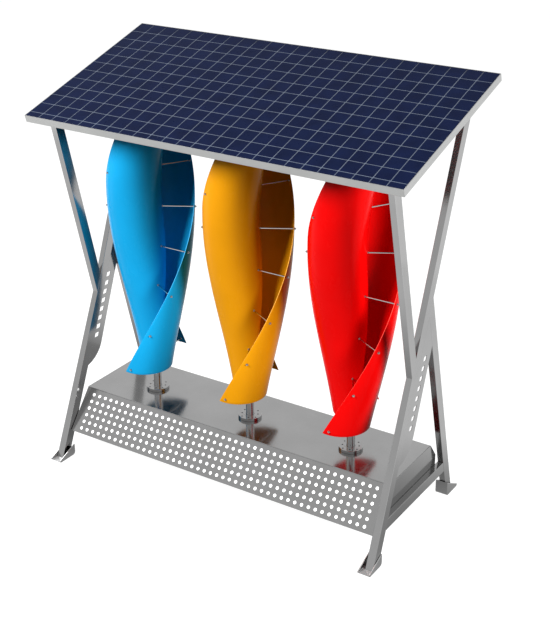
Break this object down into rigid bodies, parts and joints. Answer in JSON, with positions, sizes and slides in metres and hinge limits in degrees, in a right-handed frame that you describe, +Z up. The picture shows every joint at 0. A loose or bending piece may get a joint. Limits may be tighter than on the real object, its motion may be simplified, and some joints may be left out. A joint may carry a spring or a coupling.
{
  "type": "hybrid solar and wind unit",
  "caption": "Tilted solar panel on two polished end frames, over a row of two-bladed helical rotors that spin on upright shafts above a perforated base box.",
  "frame": {"origin": "on the floor, under the middle of the whole unit", "axes": "+X along the unit to its right, -Y out of the perforated front, +Z up"},
  "size_m": [2.104, 1.029, 2.2014],
  "materials": {
    "pv_frame_aluminium": "satin anodised",
    "rail_aluminium": "mill",
    "solar_cell_glass": "dark blue cells under clear glass",
    "end_frame_steel": "polished stainless sheet",
    "base_steel": "brushed stainless sheet, glossy",
    "polished_steel": "polished",
    "grey_housing": "satin",
    "black_plastic": "matte",
    "white_diffuser": "matte translucent white",
    "blade_left": "gloss blue",
    "blade_center": "gloss orange",
    "blade_right": "gloss red"
  },
  "bodies": {
    "frame": {"pv_frame_front": "pv_frame_aluminium", "pv_frame_back": "pv_frame_aluminium", "pv_frame_left": "pv_frame_aluminium", "pv_frame_right": "pv_frame_aluminium", "pv_laminate": "solar_cell_glass", "junction_box": "black_plastic", "rail_front": "rail_aluminium", "rail_back": "rail_aluminium", "cross_rail_left": "rail_aluminium", "cross_rail_center": "rail_aluminium", "cross_rail_right": "rail_aluminium", "top_bearing_left": "grey_housing", "top_bearing_center": "grey_housing", "top_bearing_right": "grey_housing", "diagonal_leg_left": "end_frame_steel", "front_branch_left": "end_frame_steel", "back_leg_left": "end_frame_steel", "crossbar_left": "end_frame_steel", "web_plate_left": "end_frame_steel", "foot_front_left": "end_frame_steel", "foot_back_left": "end_frame_steel", "diagonal_leg_right": "end_frame_steel", "front_branch_right": "end_frame_steel", "back_leg_right": "end_frame_steel", "crossbar_right": "end_frame_steel", "web_plate_right": "end_frame_steel", "foot_front_right": "end_frame_steel", "foot_back_right": "end_frame_steel", "base_top_cover": "base_steel", "base_front_panel": "base_steel", "base_back_panel": "base_steel", "base_bottom_tray": "base_steel", "base_end_cap_left": "base_steel", "base_end_cap_right": "base_steel", "base_light_sheet": "white_diffuser", "battery_left": "black_plastic", "battery_right": "black_plastic", "charge_controller": "grey_housing", "cable_gland": "black_plastic", "generator_left": "grey_housing", "bearing_flange_left": "polished_steel", "generator_center": "grey_housing", "bearing_flange_center": "polished_steel", "generator_right": "grey_housing", "bearing_flange_right": "polished_steel"},
    "rotor_left": {"rotor_left_spindle": "polished_steel", "rotor_left_blade_a": "blade_left", "rotor_left_blade_b": "blade_left"},
    "rotor_center": {"rotor_center_spindle": "polished_steel", "rotor_center_blade_a": "blade_center", "rotor_center_blade_b": "blade_center"},
    "rotor_right": {"rotor_right_spindle": "polished_steel", "rotor_right_blade_a": "blade_right", "rotor_right_blade_b": "blade_right"}
  },
  "joints": [
    {"name": "rotor_left_spin", "type": "hinge", "parent": "frame", "child": "rotor_left", "pos_m": [-0.605, -0.03846, 1.1], "axis": [0, 0, 1], "continuous": true},
    {"name": "rotor_center_spin", "type": "hinge", "parent": "frame", "child": "rotor_center", "pos_m": [0, -0.03846, 1.1], "axis": [0, 0, 1], "continuous": true},
    {"name": "rotor_right_spin", "type": "hinge", "parent": "frame", "child": "rotor_right", "pos_m": [0.605, -0.03846, 1.1], "axis": [0, 0, 1], "continuous": true}
  ]
}
